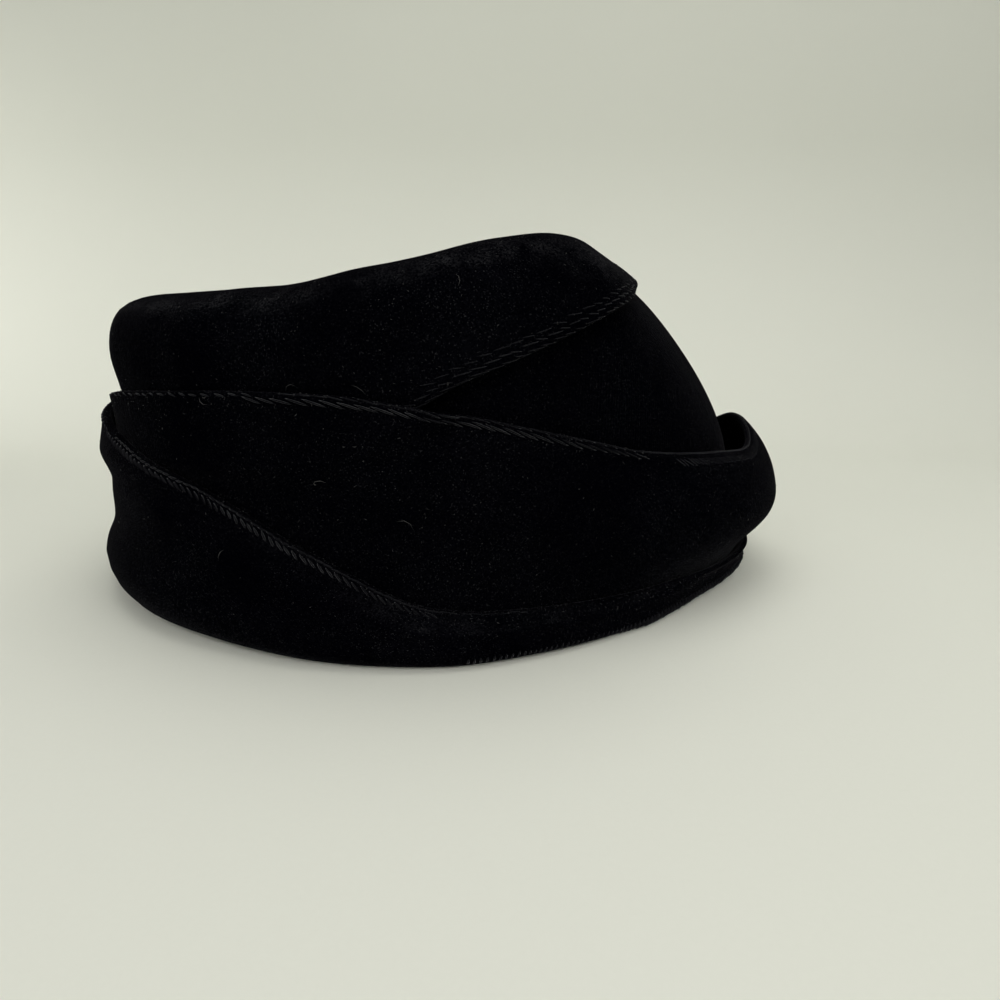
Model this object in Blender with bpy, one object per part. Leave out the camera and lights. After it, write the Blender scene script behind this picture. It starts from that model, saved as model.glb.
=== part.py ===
"""Draped velvet pillbox hat: a soft crown wrapped in three folds of velvet.

The hat stands on its rim at Z = 0 with its length along X, the tall end at -X and the low end at +X.
Its two sides are alike, mirrored about the XZ plane. Every section is drawn in a half plane through the Z
axis, as points (radius, height). The folds lie on the crown in layers, each measured outwards from the
crown's own line.
"""

import math

import bmesh
import bpy
import numpy as np
from mathutils import Matrix

MM = 0.001
HALF_TURN = 180

# Driving sizes
HEAD_LENGTH = 196 * MM  # inside of the crown at the rim, from end to end
HEAD_WIDTH = 164 * MM  # inside of the crown at the rim, from side to side
HEAD_NARROWING = 7 * MM  # taken off the oval's radius halfway to each side of the low end
HEIGHT = 108 * MM  # what all heights are measured in, a little over the table to the top of the tip
LOW_END_LIFT = 3 * MM  # how far the rim rises off the table at the low end
LIFT_SPREAD = 60  # angle each side of the low end over which that lift dies out
FULLNESS = 20 * MM  # what the folds' slack is measured in
CROWN_WALL = 2.2 * MM
VELVET = 2.6 * MM  # thickness of a folded layer
CLEARANCE = 0.5 * MM  # between two layers
DRAPE_REACH = 27 * MM  # how far the drape lies in over the tip from the brow
EDGE_LIFT = 3.2 * MM  # how far the drape's free edge stands off the crown
EDGE_FADE = 0.45  # share of the drape's width over which that lift dies out
HEM_CORNER = 14 * MM  # largest rounding where the lower fold turns under
CREASE_DEPTH = 4.0 * MM  # of the crease across the lower fold at the tall end
CREASE_WIDTH = 9 * MM
STEP_RUN = 9 * MM  # distance over which a fold climbs onto the edge of the layer below

# Crown sections by angle from the low end. Columns ending in _far are shares of the head's radius at that
# angle, and the other columns are shares of HEIGHT.
CROWN_COLUMNS = ("angle", "waist_far", "waist_up", "shoulder_far", "shoulder_up", "brow_far", "brow_up",
                 "round")
CROWN_SECTIONS = (
    (0, 1.01, 0.20, 0.96, 0.49, 0.57, 0.965, 0.12),
    (20, 1.01, 0.21, 0.97, 0.52, 0.61, 0.965, 0.12),
    (40, 1.02, 0.24, 1.02, 0.60, 0.74, 0.970, 0.12),
    (60, 1.03, 0.28, 1.06, 0.70, 0.95, 0.965, 0.11),
    (75, 1.03, 0.30, 1.05, 0.70, 1.02, 0.925, 0.09),
    (90, 1.03, 0.30, 1.05, 0.66, 1.03, 0.875, 0.08),
    (105, 1.03, 0.30, 1.05, 0.62, 1.03, 0.835, 0.08),
    (120, 1.02, 0.30, 1.03, 0.60, 1.02, 0.802, 0.08),
    (150, 1.01, 0.30, 1.01, 0.58, 1.02, 0.785, 0.08),
    (180, 1.01, 0.30, 0.99, 0.58, 1.01, 0.800, 0.08),
)
TIP_UP = 0.835  # height of the tip's middle before it puffs up, as a share of HEIGHT
TIP_PUFF = 0.03  # how far the tip puffs up, as a share of HEIGHT

# Folds by angle from the low end. Columns ending in _up are shares of HEIGHT, and columns ending in _out
# are slack between a fold and the layer below, in shares of FULLNESS. edge_lift and hem_round are shares of
# EDGE_LIFT and HEM_CORNER.
FOLD_COLUMNS = ("angle", "drape_low_up", "drape_out", "edge_lift", "middle_top_up", "middle_hem_out",
                "middle_belly_out", "middle_top_out", "lower_top_up", "lower_hem_out", "lower_belly_out",
                "hem_round")
FOLD_SECTIONS = (
    (0, 0.862, 0.00, 0.0, 0.440, 0.05, 0.62, 0.14, 0.125, 0.08, 0.08, 0.38),
    (17, 0.862, 0.00, 0.0, 0.390, 0.05, 0.60, 0.14, 0.122, 0.08, 0.08, 0.38),
    (32, 0.850, 0.00, 0.1, 0.412, 0.05, 0.56, 0.12, 0.116, 0.08, 0.08, 0.38),
    (50, 0.805, 0.02, 0.5, 0.445, 0.08, 0.48, 0.10, 0.110, 0.12, 0.10, 0.40),
    (62, 0.765, 0.05, 1.0, 0.485, 0.08, 0.34, 0.08, 0.108, 0.18, 0.14, 0.45),
    (74, 0.700, 0.06, 1.0, 0.525, 0.06, 0.23, 0.06, 0.110, 0.26, 0.20, 0.50),
    (84, 0.640, 0.06, 0.8, 0.558, 0.05, 0.16, 0.05, 0.119, 0.34, 0.26, 0.50),
    (92, 0.572, 0.06, 0.3, 0.580, 0.05, 0.14, 0.03, 0.142, 0.36, 0.28, 0.55),
    (102, 0.505, 0.06, 0.0, 0.598, 0.05, 0.12, 0.02, 0.218, 0.36, 0.28, 0.65),
    (115, 0.480, 0.07, 0.0, 0.601, 0.05, 0.10, 0.02, 0.315, 0.36, 0.26, 0.80),
    (130, 0.470, 0.12, 0.0, 0.594, 0.05, 0.08, 0.02, 0.402, 0.38, 0.22, 0.95),
    (145, 0.460, 0.20, 0.0, 0.582, 0.05, 0.05, 0.02, 0.467, 0.40, 0.16, 1.00),
    (158, 0.450, 0.26, 0.0, 0.562, 0.05, 0.05, 0.02, 0.507, 0.42, 0.12, 1.00),
    (180, 0.450, 0.28, 0.0, 0.545, 0.05, 0.05, 0.02, 0.517, 0.42, 0.12, 1.00),
)
MIDDLE_BELLY_AT = 0.60  # where the middle fold is fullest, as a share of its height
LOWER_BELLY_AT = 0.70  # the same for the lower fold
LOWER_TOP_OUT = 0.05  # slack under the lower fold's top edge, as a share of FULLNESS
CREASE_UP = 0.235  # height of the tall end's crease, as a share of HEIGHT
CREASE_SPREAD = 40  # angle each side of the tall end over which the crease dies out

# Facets
SECTIONS = 56
FOLD_POINTS = 10  # up one face of a fold
TIP_POINTS = 4  # of which lie on the tip, on the drape
EDGE_POINTS = 2  # round a folded edge
CORNER_POINTS = {"waist": 2, "shoulder": 3, "brow_low": 2, "brow_in": 2, "tip": 2}
FINE_POINTS = 12  # for each corner of the line that the folds are measured from
BROW_CORNER = list(CORNER_POINTS).index("brow_low") + 1
BROW_CROWDING = 1.6  # how closely the drape's points crowd round the brow


def from_low_end(angle):
    """Degrees between a section and the low end, whichever side it is on."""
    return abs((angle + HALF_TURN) % (2 * HALF_TURN) - HALF_TURN)


def share(columns, table, name, angle):
    """A column's value at an angle, on a smooth curve through the rows, mirrored at both ends."""
    angle = from_low_end(angle)
    at = columns.index(name)
    knots = [row[0] for row in table]
    values = [row[at] for row in table]
    knots = [-knots[1]] + knots + [2 * HALF_TURN - knots[-2]]
    values = [values[1]] + values + [values[-2]]
    k = max(i for i in range(1, len(knots) - 2) if knots[i] <= angle)
    span = knots[k + 1] - knots[k]
    slopes = [(values[i + 1] - values[i - 1]) / (knots[i + 1] - knots[i - 1]) for i in (k, k + 1)]
    t = (angle - knots[k]) / span
    return (
        values[k] * (1 + 2 * t) * (1 - t) ** 2
        + values[k + 1] * t * t * (3 - 2 * t)
        + span * slopes[0] * t * (1 - t) ** 2
        - span * slopes[1] * t * t * (1 - t)
    )


def crown_share(name, angle):
    return share(CROWN_COLUMNS, CROWN_SECTIONS, name, angle)


def fold_share(name, angle):
    return share(FOLD_COLUMNS, FOLD_SECTIONS, name, angle)


def smoothstep(low, high, x):
    t = np.clip((x - low) / (high - low), 0, 1)
    return t * t * (3 - 2 * t)


def head_radius(angle):
    """Distance from the Z axis to the inside of the crown at the rim, an oval that narrows by the low end."""
    turn = math.radians(angle)
    oval = 1 / math.hypot(2 * math.cos(turn) / HEAD_LENGTH, 2 * math.sin(turn) / HEAD_WIDTH)
    return oval - (HEAD_NARROWING * math.sin(2 * turn) ** 2 if math.cos(turn) > 0 else 0)


def rim_lift(angle):
    """Height of the rim's underside over the table."""
    t = min(1.0, from_low_end(angle) / LIFT_SPREAD)
    return LOW_END_LIFT * math.cos(math.pi / 2 * t) ** 2


def smooth_line(corners, points):
    """A line from the first corner to the last that rounds each corner between with its number of points."""
    corners = np.array(corners, float)
    line = [corners[0]]
    last = len(corners) - 2
    for k in range(1, last + 1):
        start = corners[0] if k == 1 else (corners[k - 1] + corners[k]) / 2
        stop = corners[-1] if k == last else (corners[k] + corners[k + 1]) / 2
        for t in np.linspace(0, 1, points[k - 1] + 1)[1:]:
            line.append(start * (1 - t) ** 2 + corners[k] * 2 * t * (1 - t) + stop * t * t)
    return np.array(line)


class Line:
    """A line up the hat's side, read by the distance along it."""

    def __init__(self, points):
        self.points = points
        self.along = np.concatenate([[0], np.cumsum(np.linalg.norm(np.diff(points, axis=0), axis=1))])
        ahead = np.gradient(points, self.along, axis=0)
        ahead /= np.linalg.norm(ahead, axis=1)[:, None]
        self.outwards = np.stack([ahead[:, 1], -ahead[:, 0]], axis=1)

    def point(self, at):
        return np.stack([np.interp(at, self.along, self.points[:, k]) for k in (0, 1)], axis=-1)

    def outward(self, at):
        normal = np.stack([np.interp(at, self.along, self.outwards[:, k]) for k in (0, 1)], axis=-1)
        return normal / np.linalg.norm(normal, axis=-1, keepdims=True)

    def at_height(self, height):
        """Distance at which the line first reaches a height."""
        k = int(np.argmax(self.points[:, 1] > height))
        low, high = self.points[k - 1, 1], self.points[k, 1]
        return self.along[k - 1] + (height - low) / (high - low) * (self.along[k] - self.along[k - 1])

    def lifted(self, at, lift):
        """Points that stand off the line by the given lifts."""
        return self.point(at) + self.outward(at) * np.asarray(lift)[..., None]


def rounded_end(face, other_face):
    """Points that round the end of a wall, from the last point of one face to the last point of the other."""
    middle = (face[-1] + other_face[-1]) / 2
    arm = face[-1] - middle
    ahead = face[-1] - face[-2]
    beyond = ahead / np.linalg.norm(ahead) * np.linalg.norm(arm)
    turns = np.linspace(0, math.pi, EDGE_POINTS + 2)[1:-1]
    return np.array([middle + arm * math.cos(turn) + beyond * math.sin(turn) for turn in turns])


def wall(outer, inner):
    """A wall's closed outline: up its outer face, round its top edge, down its inner face and round again."""
    top = rounded_end(outer, inner)
    bottom = rounded_end(inner[::-1], outer[::-1])
    return np.concatenate([outer, top, inner[::-1], bottom])


def swell(t, fullest, foot, belly, top):
    """Slack along a fold, from its foot at t = 0, through its belly, to its top at t = 1."""
    rising = foot + (belly - foot) * np.sin(math.pi / 2 * np.clip(t / fullest, 0, 1)) ** 2
    falling = top + (belly - top) * np.cos(math.pi / 2 * np.clip((t - fullest) / (1 - fullest), 0, 1))
    return np.where(t < fullest, rising, falling)


class Section:
    """The hat's layers at one angle. Lifts are measured outwards from the crown's line."""

    def __init__(self, angle):
        self.angle = angle
        self.head = head_radius(angle)
        self.lift = rim_lift(angle)
        self.crown = Line(self.crown_points(FINE_POINTS))
        self.drape_low, self.middle_top, self.lower_top = (
            self.crown.at_height(fold_share(name, angle) * HEIGHT)
            for name in ("drape_low_up", "middle_top_up", "lower_top_up")
        )
        self.brow = self.crown.along[FINE_POINTS * BROW_CORNER]
        self.drape_top = self.brow + DRAPE_REACH

    def crown_points(self, fine=None):
        """The crown's outer line, from its rim to the middle of its tip."""
        angle = self.angle

        def corner(name):
            far = self.head * crown_share(name + "_far", angle) + CROWN_WALL
            return np.array([far, crown_share(name + "_up", angle) * HEIGHT])

        rim = np.array([self.head + CROWN_WALL, self.lift + VELVET + CLEARANCE])
        waist, shoulder, brow = corner("waist"), corner("shoulder"), corner("brow")
        middle = np.array([0, TIP_UP * HEIGHT])
        puff = np.array([0, TIP_PUFF * HEIGHT])
        trim = crown_share("round", angle) * HEIGHT
        brow_low = brow + (shoulder - brow) / np.linalg.norm(shoulder - brow) * trim
        brow_in = brow + (middle - brow) / np.linalg.norm(middle - brow) * trim
        tip = brow_in + (middle - brow_in) * 0.5 + puff
        counts = [fine] * 5 if fine else list(CORNER_POINTS.values())
        return smooth_line([rim, waist, shoulder, brow_low, brow_in, tip, middle + puff], counts)

    def drape_lift(self, at):
        """Outer face of the drape."""
        t = np.clip((at - self.drape_low) / (self.drape_top - self.drape_low), 0, 1)
        slack = fold_share("drape_out", self.angle) * FULLNESS * np.sin(math.pi * t) ** 2
        edge = fold_share("edge_lift", self.angle) * EDGE_LIFT * (1 - smoothstep(0, EDGE_FADE, t))
        return CLEARANCE + VELVET + slack + edge

    def middle_lift(self, at):
        """Outer face of the middle fold, which climbs onto the drape where it overlaps it."""
        climbed = self.drape_low - VELVET / 2 - 2 * CLEARANCE
        over = smoothstep(climbed - STEP_RUN, climbed, at) * self.drape_lift(at)
        t = np.clip(at / self.middle_top, 0, 1)
        slack = swell(t, MIDDLE_BELLY_AT, *(fold_share(name, self.angle) for name in
                                            ("middle_hem_out", "middle_belly_out", "middle_top_out")))
        return over + CLEARANCE + VELVET + slack * FULLNESS

    def lower_lift(self, at):
        """Outer face of the lower fold, with the crease across the tall end."""
        t = np.clip(at / self.lower_top, 0, 1)
        foot, belly = (fold_share(name, self.angle) for name in ("lower_hem_out", "lower_belly_out"))
        slack = swell(t, LOWER_BELLY_AT, foot, belly, LOWER_TOP_OUT) * FULLNESS
        from_tall_end = HALF_TURN - from_low_end(self.angle)
        fade = 1 - smoothstep(0, CREASE_SPREAD, from_tall_end)
        crease_at = self.crown.at_height(CREASE_UP * HEIGHT)
        crease = CREASE_DEPTH * fade * np.exp(-(((at - crease_at) / CREASE_WIDTH) ** 2))
        return self.middle_lift(at) + CLEARANCE + VELVET + np.maximum(slack - crease, 0)

    def fold(self, at, lift):
        return wall(self.crown.lifted(at, lift), self.crown.lifted(at, lift - VELVET))

    def crown_outline(self):
        outer = Line(self.crown_points())
        inner = outer.lifted(outer.along, -CROWN_WALL * np.ones(len(outer.along)))
        inner[0] = (self.head, outer.points[0, 1])
        inner[-1] = (0, outer.points[-1, 1] - CROWN_WALL)
        return np.concatenate([outer.points, inner[::-1]])

    def drape_outline(self):
        down = np.linspace(1, 0, FOLD_POINTS - TIP_POINTS) ** BROW_CROWDING
        inwards = np.linspace(0, 1, TIP_POINTS + 1)[1:] ** BROW_CROWDING
        side = self.brow + (self.drape_low - self.brow) * down
        at = np.concatenate([side, self.brow + DRAPE_REACH * inwards])
        return self.fold(at, self.drape_lift(at))

    def middle_outline(self):
        at = np.linspace(VELVET + CLEARANCE, self.middle_top, FOLD_POINTS)
        return self.fold(at, self.middle_lift(at))

    def lower_outline(self):
        """The lower fold stands on the table, turned under as far as the crown's inside."""
        start = fold_share("hem_round", self.angle) * HEM_CORNER - VELVET - CLEARANCE
        at = np.linspace(start, self.lower_top, FOLD_POINTS)
        outer = self.crown.lifted(at, self.lower_lift(at))
        inner = self.crown.lifted(at, self.lower_lift(at) - VELVET)
        return wall(self.turned_under(outer, self.lift), self.turned_under(inner, self.lift + VELVET))

    def turned_under(self, face, height):
        """A face of the lower fold with the flat part below the rim and the round corner before it."""
        side = face[0]
        inside = np.array([self.head + VELVET / 2, height])
        corner = np.array([side[0], height])
        flat_end = np.array([side[0] - (side[1] - height), height])
        middle = (flat_end + 2 * corner + side) / 4
        return np.concatenate([[inside, flat_end, middle], face])


def loft(name, outlines, material):
    """A closed ring of outlines, one at each angle, as a named object."""
    bm = bmesh.new()
    rings = []
    for k, outline in enumerate(outlines):
        turn = 2 * math.pi * k / len(outlines)
        rings.append([bm.verts.new((r * math.cos(turn), r * math.sin(turn), z)) for r, z in outline])
    radii = [r for r, z in outlines[0]]
    steps = list(zip(range(len(radii)), [*range(1, len(radii)), 0]))
    off_axis = [(j, after) for j, after in steps if max(radii[j], radii[after]) > 0]
    for ring, following in zip(rings, rings[1:] + rings[:1]):
        for j, after in off_axis:
            bm.faces.new((ring[j], following[j], following[after], ring[after]))
    bmesh.ops.remove_doubles(bm, verts=bm.verts, dist=1e-6)
    bmesh.ops.recalc_face_normals(bm, faces=bm.faces)
    mesh = bpy.data.meshes.new(name)
    bm.to_mesh(mesh)
    bm.free()
    mesh.shade_smooth()
    mesh.set_sharp_from_angle(angle=math.radians(50))
    mesh.materials.append(material)
    bpy.context.scene.collection.objects.link(bpy.data.objects.new(name, mesh))


def centre_along_x():
    """Moves the hat along X until its ends lie equally far from the origin."""
    meshes = [obj.data for obj in bpy.data.objects]
    reach = [vertex.co.x for mesh in meshes for vertex in mesh.vertices]
    middle = (min(reach) + max(reach)) / 2
    for mesh in meshes:
        mesh.transform(Matrix.Translation((-middle, 0, 0)))


def velvet(name, colour, roughness):
    material = bpy.data.materials.new(name)
    material.use_nodes = True
    shader = material.node_tree.nodes["Principled BSDF"]
    shader.inputs["Base Color"].default_value = (*colour, 1)
    shader.inputs["Roughness"].default_value = roughness
    shader.inputs["Metallic"].default_value = 0
    return material


def build():
    for obj in list(bpy.data.objects):
        bpy.data.objects.remove(obj, do_unlink=True)
    sections = [Section(2 * HALF_TURN * k / SECTIONS) for k in range(SECTIONS)]
    finish = velvet("crown_velvet", (0.006, 0.006, 0.008), 0.95)
    loft("crown", [s.crown_outline() for s in sections], finish)
    finish = velvet("drape_velvet", (0.005, 0.005, 0.007), 0.9)
    loft("upper_drape", [s.drape_outline() for s in sections], finish)
    finish = velvet("fold_velvet", (0.005, 0.005, 0.008), 0.9)
    loft("middle_fold", [s.middle_outline() for s in sections], finish)
    finish = velvet("hem_velvet", (0.005, 0.005, 0.007), 0.9)
    loft("lower_fold", [s.lower_outline() for s in sections], finish)
    centre_along_x()


build()
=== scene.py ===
"""Looks of the draped velvet pillbox hat: fine velvet layers, opened pile, lint, camera and light.

The hat stands on its rim at Z = 0, with its tall end at -X and its low end at +X. Angles run round the Z axis
from the low end, so the near side is at -90. Lengths are metres.
"""

import math

import bmesh
import bpy
import numpy as np
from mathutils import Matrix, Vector


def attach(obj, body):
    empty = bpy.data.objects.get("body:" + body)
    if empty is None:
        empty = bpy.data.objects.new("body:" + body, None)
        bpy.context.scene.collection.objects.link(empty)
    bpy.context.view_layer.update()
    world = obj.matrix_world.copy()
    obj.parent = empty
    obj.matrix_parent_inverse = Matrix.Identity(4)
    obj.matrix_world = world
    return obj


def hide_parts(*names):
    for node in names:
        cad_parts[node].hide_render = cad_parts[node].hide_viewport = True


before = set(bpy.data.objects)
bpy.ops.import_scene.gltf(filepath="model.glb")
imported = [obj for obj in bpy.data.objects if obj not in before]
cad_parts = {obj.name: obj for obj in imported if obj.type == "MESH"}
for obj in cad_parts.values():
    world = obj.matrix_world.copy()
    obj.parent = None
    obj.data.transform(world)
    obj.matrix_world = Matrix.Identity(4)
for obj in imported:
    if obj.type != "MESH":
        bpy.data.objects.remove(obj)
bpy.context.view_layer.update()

MM = 0.001
HALF_TURN = 180

# The hat's sizes, as it was cut and draped
HEAD_LENGTH = 196 * MM
HEAD_WIDTH = 164 * MM
HEAD_NARROWING = 7 * MM
HEIGHT = 108 * MM
LOW_END_LIFT = 3 * MM
LIFT_SPREAD = 60
FULLNESS = 20 * MM
CROWN_WALL = 2.2 * MM
VELVET = 2.6 * MM
CLEARANCE = 0.5 * MM
DRAPE_REACH = 27 * MM
EDGE_LIFT = 3.2 * MM
EDGE_FADE = 0.45
HEM_CORNER = 14 * MM
CREASE_DEPTH = 3.3 * MM
CREASE_WIDTH = 7 * MM
STEP_RUN = 9 * MM

# Crown sections by angle. Columns ending in _far are shares of the head's radius, the others of HEIGHT.
CROWN_COLUMNS = ("angle", "waist_far", "waist_up", "shoulder_far", "shoulder_up", "brow_far", "brow_up",
                 "round")
CROWN_SECTIONS = (
    (0, 1.01, 0.20, 0.96, 0.49, 0.57, 0.965, 0.12),
    (20, 1.01, 0.21, 0.97, 0.52, 0.61, 0.965, 0.12),
    (40, 1.02, 0.24, 1.02, 0.60, 0.74, 0.970, 0.12),
    (60, 1.03, 0.28, 1.06, 0.70, 0.95, 0.965, 0.11),
    (75, 1.03, 0.30, 1.05, 0.70, 1.02, 0.925, 0.09),
    (90, 1.03, 0.30, 1.05, 0.66, 1.03, 0.875, 0.08),
    (105, 1.03, 0.30, 1.05, 0.62, 1.03, 0.835, 0.08),
    (120, 1.02, 0.30, 1.03, 0.60, 1.02, 0.802, 0.08),
    (150, 1.01, 0.30, 1.01, 0.58, 1.02, 0.785, 0.06),
    (180, 1.01, 0.30, 0.99, 0.58, 1.01, 0.800, 0.05),
)
TIP_UP = 0.835
TIP_PUFF = 0.03

# Folds by angle. Columns ending in _up are shares of HEIGHT, and columns ending in _out are slack in shares
# of FULLNESS. edge_lift and hem_round are shares of EDGE_LIFT and HEM_CORNER.
FOLD_COLUMNS = ("angle", "drape_low_up", "drape_out", "edge_lift", "middle_top_up", "middle_hem_out",
                "middle_belly_out", "middle_top_out", "lower_top_up", "lower_hem_out", "lower_belly_out",
                "hem_round")
FOLD_SECTIONS = (
    (0, 0.862, 0.00, 0.0, 0.440, 0.00, 0.62, 0.32, 0.092, 0.00, 0.00, 0.38),
    (17, 0.862, 0.00, 0.0, 0.390, 0.00, 0.60, 0.32, 0.092, 0.00, 0.00, 0.38),
    (32, 0.850, 0.00, 0.1, 0.412, 0.00, 0.56, 0.24, 0.092, 0.00, 0.00, 0.38),
    (50, 0.805, 0.02, 0.5, 0.445, 0.08, 0.48, 0.10, 0.097, 0.12, 0.10, 0.40),
    (62, 0.765, 0.05, 1.0, 0.485, 0.08, 0.34, 0.08, 0.103, 0.18, 0.14, 0.45),
    (74, 0.700, 0.06, 1.0, 0.525, 0.06, 0.23, 0.06, 0.110, 0.26, 0.20, 0.50),
    (84, 0.640, 0.06, 0.8, 0.558, 0.05, 0.16, 0.05, 0.119, 0.34, 0.26, 0.50),
    (92, 0.572, 0.06, 0.3, 0.580, 0.05, 0.14, 0.03, 0.142, 0.36, 0.28, 0.55),
    (102, 0.505, 0.06, 0.0, 0.598, 0.05, 0.12, 0.02, 0.218, 0.36, 0.28, 0.65),
    (115, 0.480, 0.07, 0.0, 0.601, 0.05, 0.10, 0.02, 0.315, 0.36, 0.26, 0.80),
    (130, 0.470, 0.12, 0.0, 0.594, 0.05, 0.08, 0.02, 0.402, 0.38, 0.22, 0.95),
    (145, 0.460, 0.15, 0.0, 0.582, 0.05, 0.05, 0.02, 0.467, 0.40, 0.16, 1.00),
    (158, 0.450, 0.14, 0.0, 0.562, 0.05, 0.05, 0.02, 0.507, 0.42, 0.12, 1.00),
    (180, 0.450, 0.12, 0.0, 0.545, 0.05, 0.05, 0.02, 0.538, 0.42, 0.12, 1.00),
)
MIDDLE_BELLY_AT = 0.60
LOWER_BELLY_AT = 0.70
LOWER_TOP_OUT = 0.01
CREASE_UP = 0.235
CREASE_SPREAD = 40

# Soft ridges and hollows in each layer: where each lies by angle and share of HEIGHT, how far it leans from
# the level, and its half length, half width and rise in millimetres. A fall is a negative rise.
PULL_COLUMNS = ("angle", "up", "lean", "length", "width", "rise")
DRAPE_PULLS = (
    (-128, 0.66, 78, 17, 5.0, 0.9),
    (-118, 0.62, 70, 20, 4.5, -0.5),
    (-106, 0.72, 62, 22, 5.5, 0.8),
    (-92, 0.76, 40, 26, 5.0, 0.9),
    (-80, 0.84, 28, 24, 5.0, 0.8),
    (-66, 0.88, 20, 26, 4.5, 0.9),
    (-150, 0.64, 84, 16, 6.0, 0.8),
    (168, 0.63, 80, 16, 6.0, 0.8),
    (140, 0.62, -74, 18, 5.0, 1.0),
    (116, 0.68, -58, 22, 5.5, 0.9),
    (98, 0.76, -36, 26, 5.0, 0.9),
    (72, 0.86, -22, 26, 4.5, 0.9),
)
MIDDLE_PULLS = (
    (-96, 0.38, 30, 34, 5.5, 0.9),
    (-78, 0.30, 24, 30, 6.0, 0.8),
    (-60, 0.22, 16, 30, 6.5, 0.9),
    (-38, 0.30, -24, 18, 5.0, 0.8),
    (-18, 0.16, 8, 26, 5.0, 0.8),
    (12, 0.24, -10, 26, 6.0, 0.9),
    (38, 0.22, -20, 26, 5.5, 0.9),
    (66, 0.26, -20, 32, 6.0, 0.9),
    (92, 0.36, -32, 32, 5.5, 0.9),
    (-130, 0.50, 8, 24, 3.5, 0.6),
    (150, 0.50, -8, 24, 3.5, 0.6),
)
LOWER_PULLS = (
    (-146, 0.34, 30, 24, 6.0, 0.8),
    (-124, 0.20, 22, 34, 6.0, 0.9),
    (-100, 0.09, 10, 30, 4.5, 0.6),
    (170, 0.38, 14, 22, 5.0, 0.8),
    (146, 0.32, -26, 28, 6.0, 0.9),
    (122, 0.20, -24, 34, 6.0, 0.9),
    (-170, 0.12, 4, 26, 5.0, 0.7),
)
TIP_DENTS = (
    (-20, 1.22, 60, 26, 12, -0.9),
    (70, 1.30, 10, 30, 10, -0.8),
    (150, 1.24, 80, 26, 12, -0.9),
    (-120, 1.32, 30, 28, 12, -0.7),
)

# Fineness of the meshes
SECTIONS = 480
CROWN_POINTS = 84
OUTER_POINTS = 56
TIP_SHARE = 18
INNER_POINTS = 18
EDGE_POINTS = 7
FINE_POINTS = 26
LINE_CORNERS = ("waist", "shoulder", "brow_low", "brow_in", "tip")
BROW_CORNER = LINE_CORNERS.index("brow_low") + 1
UNDER_POINTS = 6  # across the flat of the hem, and round its corner
MERGE = 1e-6
MEAN_RADIUS = (HEAD_LENGTH + HEAD_WIDTH) / 4
LEVEL_REACH = 42 * MM  # how far from the middle the tip starts to come level
CENTRING = -0.45 * MM  # brings the hat's two ends equally far from the origin

# Rows of opened pile: the edge they follow, their stretch in degrees from the low end on both sides, and in
# millimetres their spacing, length, place across the edge, width and rise. Lean is in degrees, and unrest is
# how uneven the row is.
ROW_COLUMNS = ("edge", "start", "stop", "spacing", "length", "lean", "across", "width", "rise", "unrest")
ROWS = (
    ("middle_edge", 52, 114, 3.7, 6.2, -12, -2.6, 0.50, 0.50, 0.14),
    ("middle_edge", 52, 108, 3.5, 5.0, -8, -1.0, 0.40, 0.30, 0.22),
    ("middle_edge", 114, 148, 3.6, 3.4, -13, -1.6, 0.42, 0.34, 0.35),
    ("middle_edge", 148, 180, 2.0, 2.0, -8, -1.2, 0.34, 0.22, 0.60),
    ("middle_edge", 0, 52, 1.0, 2.0, -30, -0.6, 0.44, 0.26, 0.20),
    ("middle_edge", 4, 44, 1.5, 3.8, -42, -3.6, 0.34, 0.10, 0.35),
    ("lower_edge", 88, 150, 1.9, 2.9, -34, -2.7, 0.54, 0.62, 0.18),
    ("lower_edge", 86, 146, 1.9, 2.6, 6, -1.2, 0.50, 0.52, 0.22),
    ("lower_edge", 150, 172, 2.8, 3.2, -12, -1.9, 0.52, 0.46, 0.15),
    ("lower_edge", 74, 88, 2.4, 2.6, -3, -1.2, 0.34, 0.18, 0.50),
    ("drape_edge", 44, 100, 3.0, 4.2, -13, 1.2, 0.28, 0.17, 0.40),
    ("drape_edge", 44, 94, 3.0, 4.0, -14, 3.0, 0.26, 0.13, 0.45),
    ("drape_edge", 50, 90, 3.2, 3.6, -14, 4.8, 0.24, 0.09, 0.50),
    ("hem", 6, 56, 1.5, 3.6, 90, 0.60, 0.78, 0.95, 0.20),
    ("hem", 56, 84, 1.5, 2.6, 90, 0.80, 0.70, 0.35, 0.25),
)

# Loose hairs: the edge they lie by, angle, millimetres above it, lean, length and bend in millimetres.
HAIR_COLUMNS = ("edge", "angle", "above", "lean", "length", "bend")
HAIRS = (
    ("drape_edge", -163, 21, -50, 8.0, 1.6),
    ("drape_edge", -155, 15, -78, 6.5, -1.4),
    ("drape_edge", -138, 8, -60, 5.0, 0.8),
    ("drape_edge", -134, 6, -35, 4.0, 0.9),
    ("drape_edge", -124, 12, 65, 4.5, -0.8),
    ("drape_edge", -108, 16, 20, 3.6, 1.4),
    ("drape_edge", -98, 12, -60, 4.2, 0.5),
    ("drape_edge", -84, 24, 75, 3.4, -0.8),
    ("middle_edge", -122, -3, -35, 3.2, -0.8),
    ("middle_edge", -104, -22, 15, 4.0, 1.2),
    ("middle_edge", -92, -30, -20, 5.0, 1.5),
    ("lower_edge", -118, -12, 80, 3.4, 0.6),
    ("drape_edge", 150, 14, 40, 6.0, 1.4),
    ("drape_edge", 110, 20, -30, 5.0, 1.0),
    ("middle_edge", 80, -24, 60, 5.0, -1.2),
    ("lower_edge", 130, -16, -20, 4.5, 1.0),
)

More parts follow.
